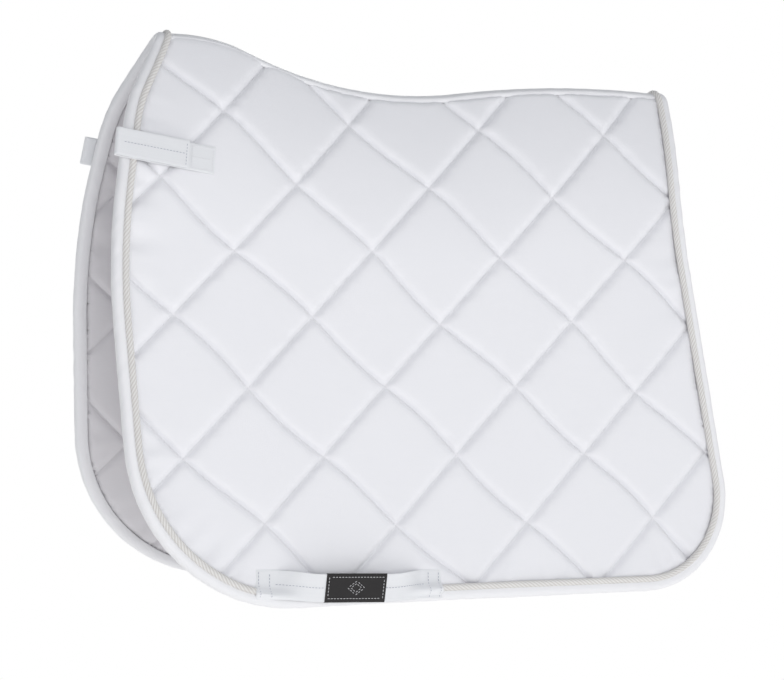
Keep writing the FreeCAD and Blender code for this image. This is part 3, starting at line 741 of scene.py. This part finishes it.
def twisted_cord(side):
    """Strands laid round each other along the edge, meeting the other side's strands over the spine."""
    line = along_edge(CORD_LEAD, CORD_SEAT, side)
    proud = along_edge(CORD_LEAD, CORD_SEAT + 0.001, side) - line
    length = lengths_along(line)
    turns = round(2 * length[-1] / (STRANDS * STRAND_PITCH))
    lay = 2 * length[-1] / turns
    lean = math.atan(math.tau * CORD_CORE / lay)
    places = np.linspace(0, length[-1], int(length[-1] / CORD_STEP) + 1)
    centre, out = read_at(places, length, line), unit(read_at(places, length, proud))
    ahead = unit(np.gradient(centre, axis=0) * -SIDES[side])
    across = unit(np.cross(ahead, out))
    around = np.arange(STRAND_SIDES) * math.tau / STRAND_SIDES
    rings, faces = [], []
    for strand in range(STRANDS):
        turn = math.tau * (places * -SIDES[side] / lay + strand / STRANDS)
        radial = out * np.cos(turn)[:, None] + across * np.sin(turn)[:, None]
        binormal = np.cross(ahead, radial) * math.cos(lean) - ahead * math.sin(lean)
        middle = centre + radial * CORD_CORE
        rings.append(np.stack([
            middle + (radial * math.cos(angle) + binormal * math.sin(angle) * STRAND_BREADTH) * STRAND_RADIUS
            for angle in around], 1))
        faces.append(grid_faces(len(places), STRAND_SIDES, closed=True) + strand * len(places) * STRAND_SIDES)
    flat = np.stack(np.broadcast_arrays(places[:, None], (around * STRAND_RADIUS)[None]), -1)
    cord = piece(f"{side}_twisted_cord", np.concatenate(rings), np.concatenate(faces), YARN,
                 np.concatenate([flat] * STRANDS))
    # painted shade: strength of the painted gap shade, strongest on each strand's inward side
    gap_shade = np.clip((GAP_SHADE_FROM - np.cos(around)) / GAP_SHADE_SPAN, 0, 1)
    shade = cord.data.attributes.new("gap_shade", "FLOAT", "POINT")
    shade.data.foreach_set("value", np.tile(gap_shade, STRANDS * len(places)).astype(np.float32))
    face_outwards(cord)
    bend_with(cord, side, "twisted_cord", f"{side}_edge_cord", "centre_edge_cord")


TAPE_FRONT, TAPE_REAR = (float(EDGE_X[end] + EDGE_IN[end, 0] * CORD_LEAD) for end in (0, -1))
TAPE_HALF = math.radians(50) * RIDGE_RADIUS
TAPE_STEP, TAPE_COLUMNS, TAPE_RIPPLE = 0.004, 31, 0.0003
TAPE_THICKNESS, TAPE_RISE, TAPE_THREAD_RISE = 0.0010, 0.0006, 0.0006
TAPE_TUCK, TAPE_TUCK_REACH = 0.0034, 0.004


def spine_tape(name, node, out, tuck, seed):
    """A folded satin tape over the ridge, tucked in along its edges, with stitches near each edge."""
    places = np.linspace(TAPE_FRONT, TAPE_REAR, int((TAPE_REAR - TAPE_FRONT) / TAPE_STEP))
    turns = np.linspace(-TAPE_HALF, TAPE_HALF, TAPE_COLUMNS)
    ripple = TAPE_RIPPLE * np.array([[noise.noise(Vector((place * 90, turn * 60, seed))) for turn in turns]
                                     for place in places])
    sink = tuck * np.clip((np.abs(turns) - TAPE_HALF) / TAPE_TUCK_REACH + 1, 0, 1) ** 2
    points = on_pad(places[:, None], np.abs(turns)[None], out + ripple - sink, 1)
    points[..., 1] *= np.where(turns < 0, -1, 1)
    flat = np.stack(np.broadcast_arrays(places[:, None], turns[None]), -1)
    tape = piece(name, points, grid_faces(*points.shape[:2]), BINDING_SATIN, flat)
    thicken(tape, TAPE_THICKNESS)
    hang_on(tape, "spine", "binding_satin", node)
    lines = [raised_line(places, TAPE_HALF - TAPE_TUCK_REACH, out + TAPE_THREAD_RISE, way) for way in (-1, 1)]
    hang_on(stitched(f"{name}_stitches", lines), "spine", "binding_satin")


# ---- straps

STRAP_LEAN, STRAP_SAG, STRAP_NARROWING = 0.28, 0.0040, 0.05
STRAP_COLUMNS, CUT_EDGE = 13, 0.3
ROW_HALF, ROW_INSET, ROW_STEP = 0.0125, 0.0025, 0.001
THREAD_LEVEL = WEBBING_THICKNESS / 2 + THREAD_LIFT


def held_flat(along):
    """No slack anywhere along a strap."""
    return 0 * along


def strap_frame(node, slack=held_flat):
    """Centre and the lengthwise, widthwise and outward directions of a flat CAD strap."""
    corners = np.array([vertex.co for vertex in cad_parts[node].data.vertices])
    spread = np.linalg.eigh(np.cov((corners - corners.mean(0)).T))[1]
    outward, widthwise, lengthwise = spread[:, 0], spread[:, 1], spread[:, 2]
    lengthwise = lengthwise * np.sign(lengthwise[0])
    widthwise = widthwise * np.sign(widthwise[2])
    outward = outward * np.sign(outward[1] * corners[0, 1])
    axes = np.stack([lengthwise, widthwise, outward])
    reach = corners @ axes.T
    centre = (reach.max(0) + reach.min(0)) / 2 @ axes
    return centre, lengthwise, widthwise, outward, slack


def smooth_path(knots, step=0.0015):
    """A rounded line through knots, as evenly spaced points: the corners are cut by repeated halving."""
    line = np.array(knots, float)
    for _ in range(4):
        cut = np.empty((2 * len(line) - 2, 2))
        cut[0::2] = line[:-1] * 0.75 + line[1:] * 0.25
        cut[1::2] = line[:-1] * 0.25 + line[1:] * 0.75
        line = np.concatenate([line[:1], cut, line[-1:]])
    length = lengths_along(line)
    places = np.linspace(0, length[-1], max(int(length[-1] / step), 2))
    return read_at(places, length, line), places


def strap(name, knots, width, base, cloth, dip=None, thickness=WEBBING_THICKNESS):
    """A flat strap along a side view of knots (distance, height), laid in a frame on the pad."""
    path, places = smooth_path(knots)
    offsets = np.linspace(-width / 2, width / 2, STRAP_COLUMNS)
    along, across = np.broadcast_arrays(path[:, 0][:, None], offsets[None])
    height = path[:, 1][:, None] + (dip(along, across) if dip else 0)
    points, _ = on_strap(base, along, across, height)
    flat = np.stack(np.broadcast_arrays(places[:, None], offsets[None]), -1)
    made = piece(name, points, grid_faces(*points.shape[:2]), cloth, flat)
    thicken(made, thickness, edge=thickness * CUT_EDGE)
    return made


def on_strap(base, along, across, height):
    """Points on a strap and their outward directions; where it is slack it sags and leans outwards."""
    centre, lengthwise, widthwise, outward, slack = base
    along, across, height = np.broadcast_arrays(along, across, height)
    loose = slack(along)
    lifted = height + STRAP_LEAN * loose * across
    lowered = across * (1 - STRAP_NARROWING * loose) - STRAP_SAG * loose
    points = centre + along[..., None] * lengthwise + lowered[..., None] * widthwise
    points = points + lifted[..., None] * outward
    return points, np.broadcast_to(outward, points.shape)


BILLET_REAR, BILLET_BOX, FLAP_REAR = 0.0645, 0.0365, 0.0345
FOLD_FRONT = -0.0430
BASE_RISE, FLAP_RISE = -0.0014, 0.0029
HOOK_RISE, FLAP_THREAD_RISE = 0.0015, 0.0001
FLAP_ROW_FRONT, FLAP_ROW_REAR, FLAP_ROW_END = -0.036, 0.030, 0.0315
PATCH_HALF, PATCH_WIDTH, PATCH_THICKNESS = 0.0320, 0.026, 0.0011


def row_between(base, start, end, height, step=ROW_STEP):
    """A straight row on a strap from one place to another, with its outward directions."""
    count = max(int(math.dist(start, end) / step), 3)
    along, across = (np.linspace(start[axis], end[axis], count) for axis in (0, 1))
    return on_strap(base, along, across, height)


def rows_round(base, corners, height, step=ROW_STEP):
    """Straight rows from corner to corner, right round a shape on a strap."""
    return [row_between(base, *ends, height, step) for ends in zip(corners[-1:] + corners, corners)]


def rectangle(low, high, half_width):
    """Corners of a rectangle on a strap."""
    return [(low, -half_width), (high, -half_width), (high, half_width), (low, half_width)]


def billet_strap(side):
    """The hook-and-loop strap: sewn down at the rear, folded back on itself at the front."""
    base = strap_frame(f"{side}_billet_loop_patch")
    knots = (
        (BILLET_REAR, BASE_RISE), (BILLET_BOX, BASE_RISE), (0.0, BASE_RISE - 0.0002), (-0.030, BASE_RISE),
        (-0.0400, BASE_RISE - 0.0002), (FOLD_FRONT - 0.0006, -0.0010), (FOLD_FRONT - 0.0012, 0.0012),
        (FOLD_FRONT - 0.0006, 0.0036), (-0.0400, FLAP_RISE + 0.0004), (-0.030, FLAP_RISE),
        (0.0, FLAP_RISE + 0.0003), (0.020, FLAP_RISE), (FLAP_REAR, FLAP_RISE + 0.0004),
    )
    webbing = strap(f"{side}_billet_webbing", knots, WEBBING_WIDTH, base, WEBBING)
    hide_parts(f"{side}_billet_strap_base", f"{side}_billet_strap_flap")
    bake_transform(webbing)
    for label, rise, body, cloth, slot_name in (
            ("loop", 0.0, f"{side}_half", PILE, "loop_pile"),
            ("hook", HOOK_RISE, f"{side}_billet_flap", HOOKS, "hook_tape")):
        patch = strap(f"{side}_{label}_patch", ((-PATCH_HALF, rise), (0, rise), (PATCH_HALF, rise)),
                      PATCH_WIDTH, base, cloth, thickness=PATCH_THICKNESS)
        hang_on(patch, body, slot_name, f"{side}_billet_{label}_patch")

    front, rear, level = BILLET_BOX + ROW_INSET, BILLET_REAR - ROW_INSET, BASE_RISE + THREAD_LEVEL
    lines = rows_round(base, rectangle(front, rear, ROW_HALF), level)
    lines.append(row_between(base, (front, 0), (rear, 0), level))
    hang_on(stitched(f"{side}_billet_box_stitches", lines), f"{side}_half", "webbing")
    level = FLAP_RISE + FLAP_THREAD_RISE + THREAD_LEVEL
    lines = [row_between(base, (FLAP_ROW_FRONT, 0), (FLAP_ROW_REAR, 0), level),
             row_between(base, (FLAP_ROW_END, -ROW_HALF), (FLAP_ROW_END, ROW_HALF), level)]
    hang_on(stitched(f"{side}_billet_flap_stitches", lines, TACK_THREAD), f"{side}_billet_flap", "webbing")
    return base


KEEPER_HALF, KEEPER_TAB, KEEPER_RAMP = 0.105, 0.018, 0.034
KEEPER_FOOT, KEEPER_GAP = 0.0080, 0.0143
KEEPER_MIDDLE = 0.01115
KEEPER_ROW_HALF, KEEPER_ROW_INSET = 0.0135, 0.0030
KEEPER_SLACK_RUN = 0.050
REST_LEVEL, CORD_LIFT, CORD_REACH = 0.0017, 0.0072, 0.0052
ROLL_LIFT, ROLL_END, ROLL_SOFTNESS = 0.0030, 0.009, 0.0012
LABEL_HALF, LABEL_THICKNESS, LABEL_SHIFT = 0.034, 0.0005, 0.001
LABEL_RISE, LABEL_EDGE, LABEL_ROW_STEP = 0.0003, 0.00015, 0.0008
BORDER_INSET_X, BORDER_INSET_Y = 0.0030, 0.0035
DIAMOND_X, DIAMOND_Y, DIAMOND_SIZES = 0.0095, 0.0075, (1.0, 0.62)


def resting_height(inset):
    """Height at which webbing rests on the cover, over the cord or over the binding."""
    cord = CORD_LIFT * np.exp(-((inset - CORD_LEAD) / CORD_REACH) ** 2)
    roll = ROLL_LIFT / (1 + np.exp((inset - ROLL_END) / ROLL_SOFTNESS))
    return REST_LEVEL + np.maximum(cord, roll)


def keeper_dip(base):
    """How far a keeper's sewn tabs come down from their level to what they are sewn on."""
    centre, lengthwise, widthwise, _, _ = base

    def dip(along, across):
        along, across = np.broadcast_arrays(along, across)
        place = centre + along[..., None] * lengthwise + across[..., None] * widthwise
        inset, _ = inset_of(place[..., 0].ravel(), run_at(place[..., 0], place[..., 2]).ravel())
        lift = resting_height(inset).reshape(along.shape) - KEEPER_FOOT
        return lift * smooth_step((np.abs(along) - (KEEPER_HALF - KEEPER_TAB - KEEPER_RAMP)) / KEEPER_RAMP)

    return dip


def bridge_slack(along):
    """How slack the keeper is: not at all at its tabs, wholly along its middle."""
    return smooth_step((KEEPER_HALF - KEEPER_TAB - np.abs(along)) / KEEPER_SLACK_RUN)


def keeper(side):
    """The girth keeper: a webbing bridge with turned tabs sewn down over the cord."""
    base = strap_frame(f"{side}_girth_keeper", bridge_slack)
    dip = keeper_dip(base)
    foot, gap = KEEPER_FOOT - KEEPER_MIDDLE, KEEPER_GAP - KEEPER_MIDDLE
    under = foot - WEBBING_THICKNESS * 0.95
    tab, end, rise = KEEPER_HALF - KEEPER_TAB, KEEPER_HALF, KEEPER_HALF - KEEPER_TAB - KEEPER_RAMP
    half = [(tab + 0.002, under), (end - 0.003, under), (end, under), (end + 0.0006, (under + foot) / 2),
            (end, foot), (end - 0.003, foot), (tab, foot), (tab - 0.010, foot + 0.0004),
            (rise + 0.010, gap - 0.0004), (rise - 0.006, gap), (0.020, gap + 0.0006)]
    knots = [(-along, height) for along, height in half] + [(along, height) for along, height in half[::-1]]
    webbing = strap(f"{side}_keeper_webbing", knots, WEBBING_WIDTH, base, WEBBING, dip)
    hang_on(webbing, f"{side}_half", "webbing", f"{side}_girth_keeper")

    path, _ = smooth_path(knots)
    top = path[np.argmin(path[:, 0]):np.argmax(path[:, 0]) + 1]

    def height(along, across):
        return np.interp(along, *top.T) + THREAD_LEVEL + dip(along, across)

    across = np.linspace(-1, 1, 40) * KEEPER_ROW_HALF
    middle = np.linspace(LABEL_HALF + LABEL_SHIFT, tab, 60)
    lines = []
    for way in (-1, 1):
        for place in (tab + KEEPER_ROW_INSET, end - KEEPER_ROW_INSET):
            row = np.full_like(across, way * place)
            lines.append(on_strap(base, row, across, height(row, across)))
        lines.append(on_strap(base, way * middle, 0 * middle, height(way * middle, 0 * middle)))
    hang_on(stitched(f"{side}_keeper_stitches", lines, TACK_THREAD), f"{side}_half", "webbing")
    return base


def woven_label(side, base):
    """A black woven band round the keeper, with a thin border and a plain diamond."""
    gap = KEEPER_GAP - KEEPER_MIDDLE + LABEL_RISE
    half_width = WEBBING_WIDTH / 2 + LABEL_THICKNESS
    half_height = WEBBING_THICKNESS / 2 + LABEL_THICKNESS
    turns = np.linspace(0, math.tau, 49)[:-1]
    across = np.sign(np.cos(turns)) * np.abs(np.cos(turns)) ** 0.25 * half_width
    height = np.sign(np.sin(turns)) * np.abs(np.sin(turns)) ** 0.5 * half_height + gap
    along = np.linspace(-LABEL_HALF, LABEL_HALF, 46) + LABEL_SHIFT
    points, _ = on_strap(base, along[:, None], across[None], height[None])
    flat = np.stack(np.broadcast_arrays(along[:, None], across[None]), -1)
    band = piece(f"{side}_woven_label", points, grid_faces(*points.shape[:2], closed=True), LABEL, flat)
    thicken(band, LABEL_THICKNESS, edge=LABEL_EDGE)
    hang_on(band, f"{side}_half", "woven_label", f"{side}_label_band")

    top = gap + half_height + LABEL_THICKNESS / 2 + THREAD_RADIUS * 0.1
    lines = []
    for size in DIAMOND_SIZES:
        tips = [(DIAMOND_X * size, 0), (0, DIAMOND_Y * size), (-DIAMOND_X * size, 0), (0, -DIAMOND_Y * size)]
        tips = [(LABEL_SHIFT + along, across) for along, across in tips]
        lines += rows_round(base, tips, top, LABEL_ROW_STEP)
    border_x, border_y = LABEL_HALF - BORDER_INSET_X, WEBBING_WIDTH / 2 - BORDER_INSET_Y
    border = rectangle(LABEL_SHIFT - border_x, LABEL_SHIFT + border_x, border_y)
    lines += rows_round(base, border, top, LABEL_ROW_STEP)
    hang_on(stitched(f"{side}_label_emblem", lines, EMBROIDERY), f"{side}_half", "woven_label")


# ---- whole pad

def footprint(base, half_length, half_width, shift, level):
    """Where a sewn strap presses the cover: its middle and direction in the flat panel, and its size."""
    centre, lengthwise = base[:2]
    ends = [centre + lengthwise * (shift + way * half_length) for way in (-1, 1)]
    flat = [np.array([end[0], float(run_at(end[0], end[2]))]) for end in ends]
    middle, way = (flat[0] + flat[1]) / 2, flat[1] - flat[0]
    return middle[0], middle[1], way / np.linalg.norm(way), half_length, half_width, level


# For each place where a strap is sewn down: half its length and width, its shift and its level.
BILLET_PRESS = (0.051, 0.0155, 0.0135, 0.0)
FRONT_TAB_PRESS, REAR_TAB_PRESS = ((0.010, 0.0155, shift, 0.0006) for shift in (-0.096, 0.096))
PANEL = lattice_sheet()
SWELL = swollen(*PANEL[:6])
SWELL[:, 2] = puckered(SWELL, PANEL[2], PANEL[3])

for half in SIDES:
    billet = billet_strap(half)
    girth = keeper(half)
    presses = [footprint(billet, *BILLET_PRESS), footprint(girth, *FRONT_TAB_PRESS),
               footprint(girth, *REAR_TAB_PRESS)]
    closed_panel(PANEL, SWELL, presses, half)
    seams = stitched(f"{half}_quilting_stitches", quilt_seams(PANEL, SWELL, presses, half))
    bend_with(seams, half, "quilted_satin")
    binding(half)
    twisted_cord(half)
    if half == "left":
        woven_label(half, girth)

spine_tape("outer_spine_tape", "spine_tape", TAPE_RISE, TAPE_TUCK, 3.0)
spine_tape("under_spine_tape", "inner_spine_tape", -PAD_THICKNESS - TAPE_RISE, 0.0, 5.0)
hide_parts("spine_seam")


# ---- studio

# For each lamp: its azimuth and elevation in degrees, its distance and size in metres, and its power.
LAMPS = (
    ("front_softbox", -8, 4, 2.6, 1.3, 22),
    ("side_softbox", 62, 12, 2.4, 1.0, 5),
    ("back_softbox", 172, 15, 2.6, 1.4, 14),
)
CAMERA_TARGET, CAMERA_AZIMUTH, CAMERA_ELEVATION, CAMERA_DISTANCE = Vector((-0.0145, 0, -0.262)), -22, 1.5, 2.2
CAMERA_LENS = 89.5
FLOOR_SIZE, FLOOR_GAP = 30, 0.25


def studio():
    """A pale floor, a soft white surround, broad front and side lights, and the camera."""
    scene = bpy.context.scene
    scene.view_settings.view_transform = "Standard"
    white = bpy.data.materials.new("pale_floor")
    white.use_nodes = True
    tree = white.node_tree
    tree.nodes.clear()
    glow = put(tree, "ShaderNodeEmission", {"Color": (1, 1, 1, 1), "Strength": 1.0})
    put(tree, "ShaderNodeOutputMaterial", {"Surface": glow.outputs[0]})
    bpy.ops.object.select_all(action="DESELECT")
    bpy.ops.mesh.primitive_plane_add(size=FLOOR_SIZE, location=(0, 0, CAD_BOX[0][2] - FLOOR_GAP))
    floor = bpy.context.object
    floor.name = "studio_floor"
    floor.data.materials.append(white)

    world = bpy.data.worlds.new("studio_surround")
    world.use_nodes = True
    scene.world = world
    tree = world.node_tree
    tree.nodes.clear()
    lit = put(tree, "ShaderNodeBackground", {"Color": (0.93, 0.96, 1.0, 1), "Strength": 0.45})
    seen = put(tree, "ShaderNodeBackground", {"Color": (1, 1, 1, 1), "Strength": 1.0})
    path = put(tree, "ShaderNodeLightPath")
    mixed = put(tree, "ShaderNodeMixShader", {0: path.outputs["Is Camera Ray"], 1: lit.outputs[0],
                                               2: seen.outputs[0]})
    put(tree, "ShaderNodeOutputWorld", {"Surface": mixed.outputs[0]})

    middle = Vector(((CAD_BOX[0][0] + CAD_BOX[1][0]) / 2, 0, (CAD_BOX[0][2] + CAD_BOX[1][2]) / 2))
    for name, azimuth, elevation, distance, size, power in LAMPS:
        lamp = bpy.data.lights.new(name, "AREA")
        lamp.shape = "SQUARE"
        lamp.size = size
        lamp.energy = power
        light = bpy.data.objects.new(name, lamp)
        scene.collection.objects.link(light)
        aim(light, middle, azimuth, elevation, distance)

    lens = bpy.data.cameras.new("studio_camera")
    lens.lens = CAMERA_LENS
    lens.sensor_width = 36
    camera = bpy.data.objects.new("studio_camera", lens)
    scene.collection.objects.link(camera)
    aim(camera, CAMERA_TARGET, CAMERA_AZIMUTH, CAMERA_ELEVATION, CAMERA_DISTANCE)
    scene.camera = camera


def aim(thing, target, azimuth, elevation, distance):
    """Places a camera or light at an angle round the target and points it there."""
    turn, rise = math.radians(azimuth), math.radians(elevation)
    back = Vector((math.sin(turn) * math.cos(rise), -math.cos(turn) * math.cos(rise), math.sin(rise)))
    thing.location = target + back * distance
    thing.rotation_euler = back.to_track_quat("Z", "Y").to_euler()


studio()
